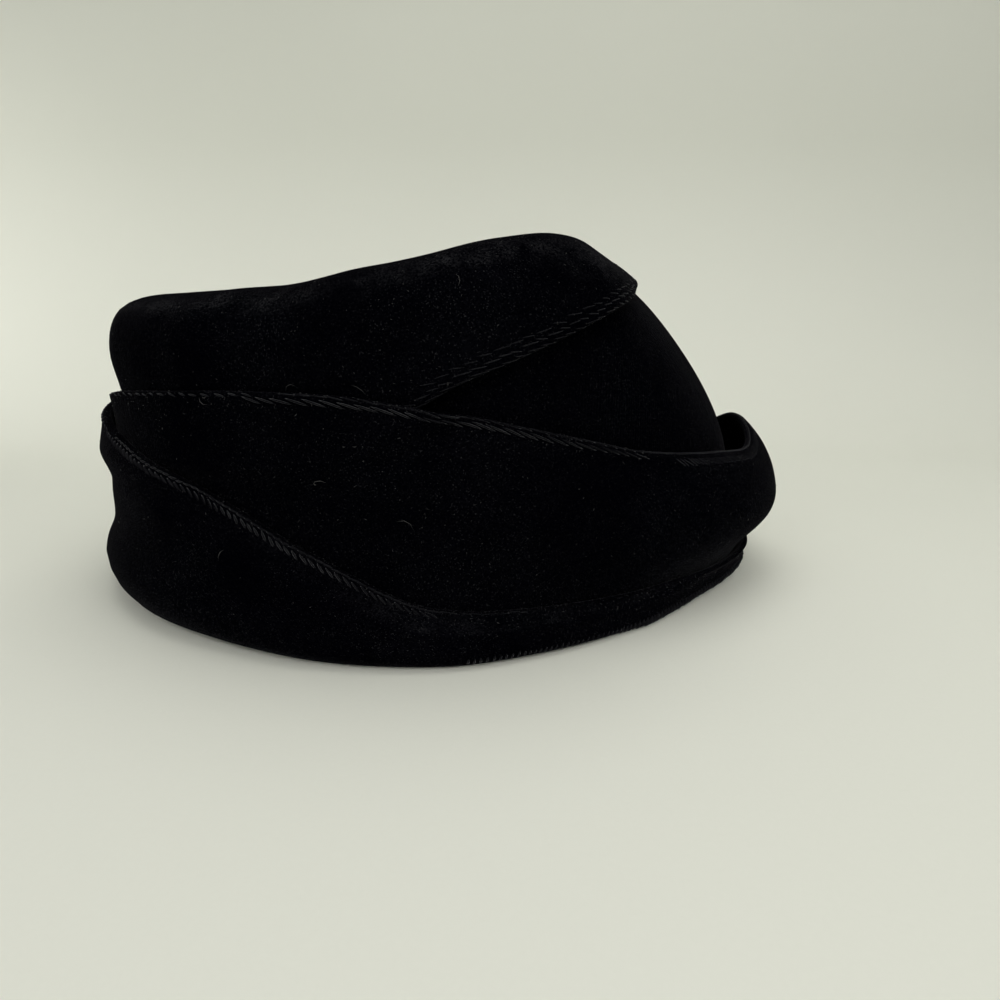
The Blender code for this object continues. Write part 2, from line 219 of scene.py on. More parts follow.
# Specks of lint: the edge they are counted from, how many, and the band above it in millimetres
SPECK_COLUMNS = ("edge", "count", "lowest", "highest")
SPECKS = (
    ("drape_edge", 1300, 1, 66),
    ("drape_edge", 260, 0, 6),
    ("middle_edge", 1100, -55, 1),
    ("middle_edge", 500, -4.5, 0.5),
    ("lower_edge", 600, -50, 1),
    ("lower_edge", 450, -4.5, 0.5),
    ("tip", 300, 2, 60),
)
EDGE_OF = {"middle_edge": "middle_fold", "lower_edge": "lower_fold", "drape_edge": "upper_drape",
           "hem": "lower_fold", "tip": "crown"}

# Opened pile and lint, where lengths and thicknesses without MM are in millimetres
RIB_STATIONS = 6  # along a tuft
RIB_ROOT = 0.15 * MM  # how deep a tuft sits in the cloth
FADE_DEGREES = 9  # over which a row of tufts rises and falls at its ends
FADE_LEAST = 0.35
LEAN_UNREST = 20
BOW_UNREST = 0.15 * MM
FIBRE_STATIONS = 4
SPECK_LENGTH = 0.35
SPECK_SPREAD = 0.5
SPECK_LONGEST = 1.6
SPECK_BEND = 0.3
SPECK_THICKNESS = (0.05, 0.13)
SPECK_RISE = 0.08 * MM
HAIR_RISE = 0.25 * MM
HAIR_THICK = 0.11 * MM
END_RISE = 1.2  # a fibre's ends clear the cloth by this less 1, in rises
PROBE_STEP = 0.4 * MM  # how far a skin is felt across
PROBE_TURN = 0.25  # and round, in degrees

# Finishes: tones are linear, and noise scales are features to the metre
BLACK_PILE = (0.0004, 0.0004, 0.0010)
BLOOM = (0.0018, 0.0018, 0.0028, 1)
# tone of the dust specks, and of the sheen painted on edges that face up or down
DUST_AND_SHEEN_TONE = (0.029, 0.029, 0.031, 1)
# opened pile: base tones far paler than the velvet's, painted to stand for the sheen on the tufts' sides
OPENED_SHEEN_DARK = (0.004, 0.004, 0.0052)
OPENED_SHEEN_LIGHT = (0.017, 0.017, 0.019, 1)
BACK_DARK = (0.006, 0.006, 0.0075)
BACK_LIGHT = (0.024, 0.024, 0.027, 1)
LINT_DARK = (0.010, 0.010, 0.011)
LINT_LIGHT = (0.125, 0.122, 0.118, 1)
FLOOR_TONE = (0.71, 0.722, 0.64)
FLOOR_TONE_LIGHT = (0.79, 0.803, 0.715, 1)
SHEEN_TINT = (0.96, 0.96, 1.0, 1)
SHEEN_WEIGHT = 0.032
SHEEN_ROUGHNESS = 0.16
PATCH_SCALE = 34
NAP_SCALE = 150
GRAIN_SCALE = 1900
DUST_SCALE = 2900
WANDER_SCALE = 60
CLOUD_SCALE = 2.2
FLECK_SCALE = 900
WANDER = 0.6  # how far a row of pile strays, in row widths
SHEEN_EDGE_TILT = 0.76  # how far an edge with painted sheen faces up or down, from 0 to 1
SHEEN_EDGE_SPREAD = 0.24  # how far from that tilt the painted sheen fades out
THREAD = 0.6 * MM
PILE_DEPTH = 0.4 * MM
TUFT_DEPTH = 0.15 * MM
THREAD_DEPTH = 0.12 * MM
PAPER_DEPTH = 0.2 * MM

# Each layer: its node, its piece, its material slot, row width in millimetres, row lean, and how much sheen
# is painted on its edges
LAYER_COLUMNS = ("node", "piece", "slot", "row_width", "row_lean", "painted_sheen")
LAYERS = (
    ("crown", "crown_cloth", "crown_velvet", 1.0, 0.0, 0.7),
    ("upper_drape", "upper_drape_cloth", "drape_velvet", 1.1, 0.5, 1.0),
    ("middle_fold", "middle_fold_cloth", "fold_velvet", 1.0, -0.8, 0.25),
    ("lower_fold", "lower_fold_cloth", "hem_velvet", 1.1, 1.7, 0.25),
)
SEED = 11

# The view: the lens and the camera's place as worked out from the photograph's scale and perspective
CAMERA_PLACE = (0.0186, -0.248, 0.0793)
CAMERA_PITCH = 13.6
LENS = 24.84
SENSOR = 36
NEAREST = 0.01
FARTHEST = 20

# The stage
SWEEP_START = 0.20
SWEEP_BEND = 0.26
SWEEP_TOP = 0.62
SWEEP_REACH = 1.6
SWEEP_STEPS = 25

# Lights: place, aim, width, height, watts, how wide the light fans out in degrees, and tone
LIGHT_COLUMNS = ("name", "place", "aim", "width", "height", "watts", "fan", "tone")
LIGHTS = (
    ("overhead", (0.10, 0.05, 1.10), (0.0, 0.0, 0.0), 1.0, 0.8, 4.6, 180, (1.0, 0.985, 0.955)),
    ("left_fill", (-0.8, -0.9, 0.9), (0.0, 0.0, 0.05), 0.8, 0.8, 2.0, 180, (0.98, 0.985, 1.0)),
    ("right_fill", (0.8, -1.0, 1.0), (0.0, 0.0, 0.05), 0.8, 0.8, 3.6, 180, (1.0, 0.985, 0.965)),
    ("front_fill", (0.05, -1.15, 0.75), (0.0, -0.20, 0.0), 0.9, 0.4, 0.85, 60, (1.0, 0.985, 0.965)),
    ("wall_glow", (-0.66, 0.06, 0.30), (-0.50, 0.50, 0.03), 0.22, 0.22, 0.25, 100, (1.0, 0.985, 0.96)),
)
SKY_TONE = (0.95, 0.965, 0.96, 1)
SKY_STRENGTH = 0.27


def from_low_end(angle):
    """Degrees between a section and the low end, whichever side it is on."""
    return abs((angle + HALF_TURN) % (2 * HALF_TURN) - HALF_TURN)


def share(columns, table, name, angle):
    """A column's value at an angle, on a smooth curve through the rows, mirrored at both ends."""
    angle = from_low_end(angle)
    at = columns.index(name)
    knots = [row[0] for row in table]
    values = [row[at] for row in table]
    knots = [-knots[1]] + knots + [2 * HALF_TURN - knots[-2]]
    values = [values[1]] + values + [values[-2]]
    k = max(i for i in range(1, len(knots) - 2) if knots[i] <= angle)
    span = knots[k + 1] - knots[k]
    slopes = [(values[i + 1] - values[i - 1]) / (knots[i + 1] - knots[i - 1]) for i in (k, k + 1)]
    t = (angle - knots[k]) / span
    return (
        values[k] * (1 + 2 * t) * (1 - t) ** 2
        + values[k + 1] * t * t * (3 - 2 * t)
        + span * slopes[0] * t * (1 - t) ** 2
        - span * slopes[1] * t * t * (1 - t)
    )


def crown_share(name, angle):
    return share(CROWN_COLUMNS, CROWN_SECTIONS, name, angle)


def fold_share(name, angle):
    return share(FOLD_COLUMNS, FOLD_SECTIONS, name, angle)


def smoothstep(low, high, x):
    t = np.clip((x - low) / (high - low), 0, 1)
    return t * t * (3 - 2 * t)


def head_radius(angle):
    """Distance from the Z axis to the inside of the crown at the rim, an oval that narrows by the low end."""
    turn = math.radians(angle)
    oval = 1 / math.hypot(2 * math.cos(turn) / HEAD_LENGTH, 2 * math.sin(turn) / HEAD_WIDTH)
    return oval - (HEAD_NARROWING * math.sin(2 * turn) ** 2 if math.cos(turn) > 0 else 0)


def rim_lift(angle):
    """Height of the rim's underside over the table."""
    t = min(1.0, from_low_end(angle) / LIFT_SPREAD)
    return LOW_END_LIFT * math.cos(math.pi / 2 * t) ** 2


def smooth_line(corners, points):
    """A line from the first corner to the last that rounds each corner between with its number of points."""
    corners = np.array(corners, float)
    line = [corners[:1]]
    last = len(corners) - 2
    t = np.linspace(0, 1, points + 1)[1:, None]
    for k in range(1, last + 1):
        start = corners[0] if k == 1 else (corners[k - 1] + corners[k]) / 2
        stop = corners[-1] if k == last else (corners[k] + corners[k + 1]) / 2
        line.append(start * (1 - t) ** 2 + corners[k] * 2 * t * (1 - t) + stop * t * t)
    return np.concatenate(line)


def pulls_at(table, angle, at):
    """Sum of a layer's soft ridges at an angle, by the distance up the crown's line."""
    total = np.zeros(len(at))
    for row in table:
        pull = dict(zip(PULL_COLUMNS, row))
        turn = (angle - pull["angle"] + HALF_TURN) % (2 * HALF_TURN) - HALF_TURN
        round_it = math.radians(turn) * MEAN_RADIUS
        up = np.asarray(at) - pull["up"] * HEIGHT
        lean = math.radians(pull["lean"])
        along = (round_it * math.cos(lean) + up * math.sin(lean)) / (pull["length"] * MM)
        across = (up * math.cos(lean) - round_it * math.sin(lean)) / (pull["width"] * MM)
        total += pull["rise"] * MM * np.exp(-(along ** 2) - across ** 2)
    return total


class Line:
    """A line up the hat's side, read by the distance along it."""

    def __init__(self, points):
        self.points = points
        self.along = np.concatenate([[0], np.cumsum(np.linalg.norm(np.diff(points, axis=0), axis=1))])
        ahead = np.gradient(points, self.along, axis=0)
        ahead /= np.linalg.norm(ahead, axis=1)[:, None]
        self.outwards = np.stack([ahead[:, 1], -ahead[:, 0]], axis=1)

    def point(self, at):
        return np.stack([np.interp(at, self.along, self.points[:, k]) for k in (0, 1)], axis=-1)

    def outward(self, at):
        normal = np.stack([np.interp(at, self.along, self.outwards[:, k]) for k in (0, 1)], axis=-1)
        return normal / np.linalg.norm(normal, axis=-1, keepdims=True)

    def at_height(self, height):
        """Distance at which the line first reaches a height."""
        k = int(np.argmax(self.points[:, 1] > height))
        low, high = self.points[k - 1, 1], self.points[k, 1]
        return self.along[k - 1] + (height - low) / (high - low) * (self.along[k] - self.along[k - 1])

    def lifted(self, at, lift):
        """Points that stand off the line by the given lifts."""
        return self.point(at) + self.outward(at) * np.asarray(lift)[..., None]


def rounded_end(face, other_face):
    """Points that round the end of a wall, from the last point of one face to the last point of the other."""
    middle = (face[-1] + other_face[-1]) / 2
    arm = face[-1] - middle
    ahead = face[-1] - face[-2]
    beyond = ahead / np.linalg.norm(ahead) * np.linalg.norm(arm)
    turns = np.linspace(0, math.pi, EDGE_POINTS + 2)[1:-1]
    return np.array([middle + arm * math.cos(turn) + beyond * math.sin(turn) for turn in turns])


def wall(outer, inner):
    """A wall's closed outline: up its outer face, round its top edge, down its inner face and round again."""
    top = rounded_end(outer, inner)
    bottom = rounded_end(inner[::-1], outer[::-1])
    return np.concatenate([outer, top, inner[::-1], bottom])


def swell(t, fullest, foot, belly, top):
    """Slack along a fold, from its foot at t = 0, through its belly, to its top at t = 1."""
    rising = foot + (belly - foot) * np.sin(math.pi / 2 * np.clip(t / fullest, 0, 1)) ** 2
    falling = top + (belly - top) * np.cos(math.pi / 2 * np.clip((t - fullest) / (1 - fullest), 0, 1))
    return np.where(t < fullest, rising, falling)


def level_middle(face):
    """A face of the crown whose last stretch comes level into the middle of the tip."""
    fall = np.sin(math.pi / 2 * np.clip(face[:, 0] / LEVEL_REACH, 0, 1))
    heights = face[-1, 1] + (face[:, 1] - face[-1, 1]) * fall
    return np.stack([face[:, 0], heights], axis=1)


class Section:
    """The hat's layers at one angle. Lifts are measured outwards from the crown's line."""

    def __init__(self, angle):
        self.angle = angle
        self.head = head_radius(angle)
        self.lift = rim_lift(angle)
        self.crown = Line(self.crown_line())
        self.drape_low, self.middle_top, self.lower_top = (
            self.crown.at_height(fold_share(name, angle) * HEIGHT)
            for name in ("drape_low_up", "middle_top_up", "lower_top_up")
        )
        self.brow = self.crown.along[FINE_POINTS * BROW_CORNER]
        self.drape_top = self.brow + DRAPE_REACH

    def crown_line(self):
        """The crown's outer line, from its rim to the middle of its tip."""
        angle = self.angle

        def corner(name):
            far = self.head * crown_share(name + "_far", angle) + CROWN_WALL
            return np.array([far, crown_share(name + "_up", angle) * HEIGHT])

        rim = np.array([self.head + CROWN_WALL, self.lift + VELVET + CLEARANCE])
        waist, shoulder, brow = corner("waist"), corner("shoulder"), corner("brow")
        middle = np.array([0, TIP_UP * HEIGHT])
        puff = np.array([0, TIP_PUFF * HEIGHT])
        trim = crown_share("round", angle) * HEIGHT
        brow_low = brow + (shoulder - brow) / np.linalg.norm(shoulder - brow) * trim
        brow_in = brow + (middle - brow) / np.linalg.norm(middle - brow) * trim
        tip = brow_in + (middle - brow_in) * 0.5 + puff
        return smooth_line([rim, waist, shoulder, brow_low, brow_in, tip, middle + puff], FINE_POINTS)

    def drape_lift(self, at):
        t = np.clip((at - self.drape_low) / (self.drape_top - self.drape_low), 0, 1)
        slack = fold_share("drape_out", self.angle) * FULLNESS * np.sin(math.pi * t) ** 2
        edge = fold_share("edge_lift", self.angle) * EDGE_LIFT * (1 - smoothstep(0, EDGE_FADE, t))
        pulls = pulls_at(DRAPE_PULLS, self.angle, at) * np.sin(math.pi * t)
        return CLEARANCE + VELVET + np.maximum(slack + edge + pulls, 0)

    def middle_lift(self, at):
        climbed = self.drape_low - VELVET / 2 - 2 * CLEARANCE
        over = smoothstep(climbed - STEP_RUN, climbed, at) * self.drape_lift(at)
        t = np.clip(at / self.middle_top, 0, 1)
        slack = swell(t, MIDDLE_BELLY_AT, *(fold_share(name, self.angle) for name in
                                            ("middle_hem_out", "middle_belly_out", "middle_top_out")))
        pulls = pulls_at(MIDDLE_PULLS, self.angle, at) * np.sin(math.pi * t)
        return over + CLEARANCE + VELVET + np.maximum(slack * FULLNESS + pulls, 0)

    def lower_lift(self, at):
        t = np.clip(at / self.lower_top, 0, 1)
        foot, belly = (fold_share(name, self.angle) for name in ("lower_hem_out", "lower_belly_out"))
        slack = swell(t, LOWER_BELLY_AT, foot, belly, LOWER_TOP_OUT) * FULLNESS
        from_tall_end = HALF_TURN - from_low_end(self.angle)
        fade = 1 - smoothstep(0, CREASE_SPREAD, from_tall_end)
        crease_at = self.crown.at_height(CREASE_UP * HEIGHT)
        crease = CREASE_DEPTH * fade * np.exp(-(((at - crease_at) / CREASE_WIDTH) ** 2))
        pulls = pulls_at(LOWER_PULLS, self.angle, at) * np.sin(math.pi * t)
        return self.middle_lift(at) + CLEARANCE + VELVET + np.maximum(slack - crease + pulls, 0)

    def fold(self, at, lift_of):
        """A fold's outline: a fine outer face and a plainer inner one, a velvet's thickness apart."""
        inner_at = np.interp(np.linspace(0, 1, INNER_POINTS), np.linspace(0, 1, len(at)), at)
        outer = self.crown.lifted(at, lift_of(at))
        return wall(outer, self.crown.lifted(inner_at, lift_of(inner_at) - VELVET))

    def tip_dents(self, at):
        """Soft dents in the tip, which fade out towards its middle."""
        return pulls_at(TIP_DENTS, self.angle, at) * (1 - smoothstep(0.75, 1, at / self.crown.along[-1]))

    def crown_outline(self):
        """The crown's outer face up to the middle of its tip, and its inner face back down."""
        at = np.linspace(0, self.crown.along[-1], CROWN_POINTS)
        outer = self.crown.lifted(at, self.tip_dents(at))
        inner_at = np.linspace(0, self.crown.along[-1], CROWN_POINTS // 2)
        inner = self.crown.lifted(inner_at, self.tip_dents(inner_at) - CROWN_WALL)
        inner[0] = (self.head, outer[0, 1])
        inner[-1] = (0, outer[-1, 1] - CROWN_WALL)
        inner[:, 0] = np.maximum(inner[:, 0], 0)
        return np.concatenate([level_middle(outer), level_middle(inner)[::-1]])

    def drape_outline(self):
        side = np.linspace(self.drape_low, self.brow, OUTER_POINTS - TIP_SHARE)
        tip = self.brow + DRAPE_REACH * np.linspace(0, 1, TIP_SHARE + 1)[1:]
        return self.fold(np.concatenate([side, tip]), self.drape_lift)

    def middle_outline(self):
        return self.fold(np.linspace(VELVET + CLEARANCE, self.middle_top, OUTER_POINTS), self.middle_lift)

    def lower_outline(self):
        """The lower fold stands on the table, turned under as far as the crown's inside."""
        start = fold_share("hem_round", self.angle) * HEM_CORNER - VELVET - CLEARANCE
        at = np.linspace(start, self.lower_top, OUTER_POINTS)
        inner_at = np.linspace(start, self.lower_top, INNER_POINTS)
        outer = self.crown.lifted(at, self.lower_lift(at))
        inner = self.crown.lifted(inner_at, self.lower_lift(inner_at) - VELVET)
        return wall(self.turned_under(outer, self.lift), self.turned_under(inner, self.lift + VELVET))

    def turned_under(self, face, height):
        """A face of the lower fold with the flat part below the rim and the round corner before it."""
        side = face[0]
        inside = np.array([self.head + VELVET / 2, height])
        corner = np.array([side[0], height])
        flat_end = np.array([side[0] - (side[1] - height), height])
        flat = inside + (flat_end - inside) * np.linspace(0, 1, UNDER_POINTS)[:, None]
        t = np.linspace(0, 1, UNDER_POINTS + 1)[1:-1, None]
        bend = flat_end * (1 - t) ** 2 + corner * 2 * t * (1 - t) + side * t * t
        return np.concatenate([flat, bend, face])


def all_outlines():
    """Every layer's outline at each section, as arrays of section, point, and radius and height."""
    sections = [Section(2 * HALF_TURN * k / SECTIONS) for k in range(SECTIONS)]
    return {
        "crown": np.array([s.crown_outline() for s in sections]),
        "upper_drape": np.array([s.drape_outline() for s in sections]),
        "middle_fold": np.array([s.middle_outline() for s in sections]),
        "lower_fold": np.array([s.lower_outline() for s in sections]),
    }


def ring(name, outlines, finish, inner_finish=None):
    """A closed ring through one outline for each section, with its place in the cloth as a UV map."""
    count, points = outlines.shape[:2]
    turns = np.arange(count) * 2 * math.pi / count
    radii, heights = outlines[..., 0], outlines[..., 1]
    places = np.stack(
        [radii * np.cos(turns)[:, None] + CENTRING, radii * np.sin(turns)[:, None], heights], axis=-1
    )
    k, j = (grid.ravel() for grid in np.meshgrid(np.arange(count), np.arange(points), indexing="ij"))
    off_axis = np.maximum(radii[k, j], radii[k, (j + 1) % points]) > 0
    k, j = k[off_axis], j[off_axis]
    corners = [(k, j), (k + 1, j), (k + 1, j + 1), (k, j + 1)]
    faces = np.stack([a % count * points + b % points for a, b in corners], axis=-1)
    steps = np.linalg.norm(np.diff(outlines, axis=1, append=outlines[:, :1]), axis=2)
    along = np.concatenate([np.zeros((count, 1)), np.cumsum(steps, axis=1)], axis=1)
    cloth = np.stack(
        [np.stack([a * 2 * math.pi / count * MEAN_RADIUS, along[a % count, b]], axis=-1) for a, b in corners],
        axis=1,
    )
    mesh = bpy.data.meshes.new(name)
    mesh.from_pydata(places.reshape(-1, 3), [], faces)
    mesh.uv_layers.new(name="cloth").data.foreach_set("uv", cloth.reshape(-1).astype(np.float32))
    mesh.materials.append(finish)
    if inner_finish:
        mesh.materials.append(inner_finish)
        mesh.polygons.foreach_set("material_index", (j >= CROWN_POINTS - 1).astype(np.int32))
        joined = bmesh.new()
        joined.from_mesh(mesh)
        bmesh.ops.remove_doubles(joined, verts=joined.verts, dist=MERGE)
        joined.to_mesh(mesh)
        joined.free()
    mesh.shade_smooth()
    piece = bpy.data.objects.new(name, mesh)
    bpy.context.scene.collection.objects.link(piece)
    return piece


class Skin:
    """The skin of a fold, read by angle and by the distance across from a point of its outline."""

    def __init__(self, outlines, middle):
        points = outlines.shape[1]
        roll = points // 2 - middle
        self.outlines = np.roll(outlines, roll, axis=1)
        steps = np.linalg.norm(np.diff(self.outlines, axis=1), axis=2)
        along = np.concatenate([np.zeros((len(outlines), 1)), np.cumsum(steps, axis=1)], axis=1)
        self.across = along - along[:, middle + roll][:, None]

    def point(self, angle, across):
        k = (angle % (2 * HALF_TURN)) / (2 * HALF_TURN) * SECTIONS
        low = int(k) % SECTIONS
        high, part = (low + 1) % SECTIONS, k - int(k)
        ends = []
        for section in (low, high):
            steps, line = self.across[section], self.outlines[section]
            ends.append([np.interp(across, steps, line[:, n]) for n in (0, 1)])
        radius, height = np.array(ends[0]) * (1 - part) + np.array(ends[1]) * part
        turn = math.radians(angle)
        return np.array([radius * math.cos(turn) + CENTRING, radius * math.sin(turn), height])

    def axes(self, angle, across):
        """Unit vectors round the hat, across the cloth and out of it."""
        round_it = self.point(angle + PROBE_TURN, across) - self.point(angle - PROBE_TURN, across)
        over = self.point(angle, across + PROBE_STEP) - self.point(angle, across - PROBE_STEP)
        round_it /= np.linalg.norm(round_it)
        out = np.cross(round_it, over)
        out /= np.linalg.norm(out)
        return round_it, np.cross(out, round_it), out


class Strands:
    """Many small solids joined in one mesh."""

    def __init__(self):
        self.places = []
        self.faces = []

    def add(self, spine, sides, tops, floors):
        """A long lens: pointed ends, with a corner to each side, one above and one below between them."""
        first = len(self.places)
        last = len(spine) - 1
        self.places.append(spine[0])
        for k in range(1, last):
            self.places += [spine[k] + way for way in (sides[k], tops[k], -sides[k], -floors[k])]
        self.places.append(spine[last])
        end = len(self.places) - 1
        for n in range(4):
            after = (n + 1) % 4
            self.faces.append((first, first + 1 + n, first + 1 + after))
            for k in range(last - 2):
                a = first + 1 + 4 * k
                self.faces.append((a + n, a + 4 + n, a + 4 + after, a + after))
            a = first + 1 + 4 * (last - 2)
            self.faces.append((a + n, end, a + after))

    def rib(self, skin, angle, across, lean, length, width, rise, bow=0.0):
        """A tuft of opened pile that lies on a skin."""
        stations = np.linspace(-1, 1, RIB_STATIONS)
        radius = np.linalg.norm(skin.point(angle, across)[:2])
        lean = math.radians(lean)
        spine, outs = [], []
        for t in stations:
            turn = math.degrees(t * length / 2 * math.cos(lean) / radius)
            over = across + t * length / 2 * math.sin(lean) + bow * (1 - t * t)
            spine.append(skin.point(angle + turn, over))
            outs.append(skin.axes(angle + turn, over)[2])
        spine, outs = np.array(spine), np.array(outs)
        ahead = np.gradient(spine, axis=0)
        side = np.cross(ahead, outs)
        side /= np.linalg.norm(side, axis=1)[:, None]
        full = np.sqrt(1 - stations ** 2)[:, None]
        self.add(spine, side * full * width / 2, outs * full * rise, outs * full * RIB_ROOT)

    def fibre(self, spine, thick):
        """A loose hair or speck along a bent spine."""
        ahead = np.gradient(spine, axis=0)
        side = np.cross(ahead, (0.3, 0.5, 0.8))
        side *= thick / 2 / np.linalg.norm(side, axis=1)[:, None]
        top = np.cross(side, ahead)
        top *= thick / 2 / np.linalg.norm(top, axis=1)[:, None]
        self.add(spine, side, top, top)

    def piece(self, name, finish):
        mesh = bpy.data.meshes.new(name)
        mesh.from_pydata([tuple(place) for place in self.places], [], self.faces)
        tidy = bmesh.new()
        tidy.from_mesh(mesh)
        bmesh.ops.recalc_face_normals(tidy, faces=tidy.faces)
        tidy.to_mesh(mesh)
        tidy.free()
        mesh.shade_smooth()
        mesh.materials.append(finish)
        piece = bpy.data.objects.new(name, mesh)
        bpy.context.scene.collection.objects.link(piece)
        return piece


def skins(outlines):
    """Skins read from each folded edge, the drape's free edge, the hem's corner and the tip's rim."""
    half_edge = (EDGE_POINTS + 1) // 2
    middle_top = OUTER_POINTS - 1 + half_edge
    lower_top = 2 * UNDER_POINTS - 1 + middle_top
    drape_low = outlines["upper_drape"].shape[1] - half_edge
    return {
        "middle_edge": Skin(outlines["middle_fold"], middle_top),
        "lower_edge": Skin(outlines["lower_fold"], lower_top),
        "drape_edge": Skin(outlines["upper_drape"], drape_low),
        "hem": Skin(outlines["lower_fold"], UNDER_POINTS + UNDER_POINTS // 2 - 1),
        "tip": Skin(outlines["crown"], CROWN_POINTS * 2 // 3),
    }


def opened_pile(edges, chance):
    """The tufts of each layer, in rows that are alike on both sides."""
    strands = {}
    for values in ROWS:
        row = dict(zip(ROW_COLUMNS, values))
        made = strands.setdefault(EDGE_OF[row["edge"]], Strands())
        for side in (-1, 1):
            turn = row["start"] + chance.uniform(0, 0.5)
            while turn < row["stop"]:
                unrest = row["unrest"] * chance.uniform(-1, 1, 5)
                fade = min(1.0, FADE_LEAST + min(turn - row["start"], row["stop"] - turn) / FADE_DEGREES)
                made.rib(
                    edges[row["edge"]],
                    side * turn,
                    (row["across"] + 0.5 * unrest[0]) * MM,
                    -side * (row["lean"] + LEAN_UNREST * unrest[1]),
                    row["length"] * (1 + 0.5 * unrest[2]) * MM,
                    row["width"] * MM,
                    row["rise"] * fade * (1 + 0.5 * unrest[3]) * MM,
                    BOW_UNREST * unrest[4],
                )
                turn += row["spacing"] * MM / MEAN_RADIUS * HALF_TURN / math.pi * (1 + 0.5 * unrest[2])
    return strands


def loose_spine(skin, angle, across, lean, length, bend, rise):
    """The spine of a fibre that lies on a skin, bent to one side and lifted in its middle."""
    place = skin.point(angle, across)
    round_it, over, out = skin.axes(angle, across)
    lean = math.radians(lean)
    ahead = round_it * math.cos(lean) + over * math.sin(lean)
    aside = over * math.cos(lean) - round_it * math.sin(lean)
    t = np.linspace(-1, 1, FIBRE_STATIONS)[:, None]
    return place + ahead * t * length / 2 + aside * bend * (1 - t * t) + out * rise * (END_RISE - t * t)


def lint(edges, chance):
    """Specks all over the velvet and a few long hairs."""
    made = Strands()
    for values in SPECKS:
        row = dict(zip(SPECK_COLUMNS, values))
        for _ in range(row["count"]):
            length = min(chance.lognormal(math.log(SPECK_LENGTH), SPECK_SPREAD), SPECK_LONGEST) * MM
            spine = loose_spine(
                edges[row["edge"]],
                chance.uniform(0, 2 * HALF_TURN),
                chance.uniform(row["lowest"], row["highest"]) * MM,
                chance.uniform(-HALF_TURN, HALF_TURN),
                length,
                length * chance.uniform(-SPECK_BEND, SPECK_BEND),
                SPECK_RISE,
            )
            made.fibre(spine, chance.uniform(*SPECK_THICKNESS) * MM)
    for values in HAIRS:
        row = dict(zip(HAIR_COLUMNS, values))
        spine = loose_spine(
            edges[row["edge"]],
            row["angle"],
            row["above"] * MM,
            row["lean"],
            row["length"] * MM,
            row["bend"] * MM,
            HAIR_RISE,
        )
        made.fibre(spine, HAIR_THICK)
    return made


class Value:
    """A shader socket that can be used in sums."""

    def __init__(self, finish, socket):
        self.finish = finish
        self.socket = socket

    def sum(self, operation, *values):
        sockets = dict(enumerate(values))
        return self.finish.node("ShaderNodeMath", {"operation": operation}, sockets)

    def __add__(self, other):
        return self.sum("ADD", self, other)

    __radd__ = __add__

    def __mul__(self, other):
        return self.sum("MULTIPLY", self, other)

    __rmul__ = __mul__

    def __sub__(self, other):
        return self.sum("SUBTRACT", self, other)

    def __rsub__(self, other):
        return self.sum("SUBTRACT", other, self)

    def __truediv__(self, other):
        return self.sum("DIVIDE", self, other)

    def clipped(self):
        """Kept from 0 to 1."""
        return self.finish.node("ShaderNodeClamp", {}, {"Value": self})

    def sine(self):
        return self.sum("SINE", self)


class Finish:
    """A material in the making."""

    def __init__(self, name):
        self.material = bpy.data.materials.new(name)
        self.material.use_nodes = True
        self.tree = self.material.node_tree
        self.shader = self.tree.nodes["Principled BSDF"]

    def feed(self, socket, value):
        if isinstance(value, Value):
            self.tree.links.new(value.socket, socket)
        else:
            socket.default_value = value

    def node(self, kind, settings, sockets, result=0):
        """Any other node, from its type, its settings and the values or links of its sockets."""
        made = self.tree.nodes.new(kind)
        for name, value in settings.items():
            setattr(made, name, value)
        for name, value in sockets.items():
            self.feed(made.inputs[name], value)
        return Value(self, made.outputs[result])

    def noise(self, place, scale, detail=2.0, roughness=0.5):
        """Noise of that many features to the metre."""
        return self.node("ShaderNodeTexNoise", {},
                         {"Vector": place, "Scale": scale, "Detail": detail, "Roughness": roughness})

    def mixed(self, factor, first, second):
        """One colour into another, where either is a plain tone or a socket."""
        first, second = (
            tone if isinstance(tone, Value) else (*tone[:3], 1) for tone in (first, second)
        )
        return self.node("ShaderNodeMix", {"data_type": "RGBA"}, {0: factor, 6: first, 7: second}, 2)

    def set(self, **values):
        for name, value in values.items():
            self.feed(self.shader.inputs[name.replace("_", " ").title().replace("Ior", "IOR")], value)
        return self.material

    def bump(self, height, strength, distance):
        return self.node("ShaderNodeBump", {}, {"Height": height, "Strength": strength, "Distance": distance})


def cloth_axes(finish):
    """Metres round the hat and across the cloth, from the UV map."""
    cloth = finish.node("ShaderNodeUVMap", {"uv_map": "cloth"}, {})
    parts = finish.tree.nodes.new("ShaderNodeSeparateXYZ")
    finish.feed(parts.inputs[0], cloth)
    return Value(finish, parts.outputs[0]), Value(finish, parts.outputs[1])


def painted_sheen_edges(finish):
    """1 where the cloth turns over the brow or under the rim, facing partly up or down, where a sheen is
    painted pale into the colour, and 0 elsewhere.
    """
    facing = finish.tree.nodes.new("ShaderNodeSeparateXYZ")
    finish.feed(facing.inputs[0], finish.node("ShaderNodeNewGeometry", {}, {}, 1))
    tilt = finish.node("ShaderNodeMath", {"operation": "ABSOLUTE"}, {0: Value(finish, facing.outputs[2])})
    off_edge = finish.node("ShaderNodeMath", {"operation": "ABSOLUTE"}, {0: tilt - SHEEN_EDGE_TILT})
    return (1 - off_edge / SHEEN_EDGE_SPREAD).clipped()


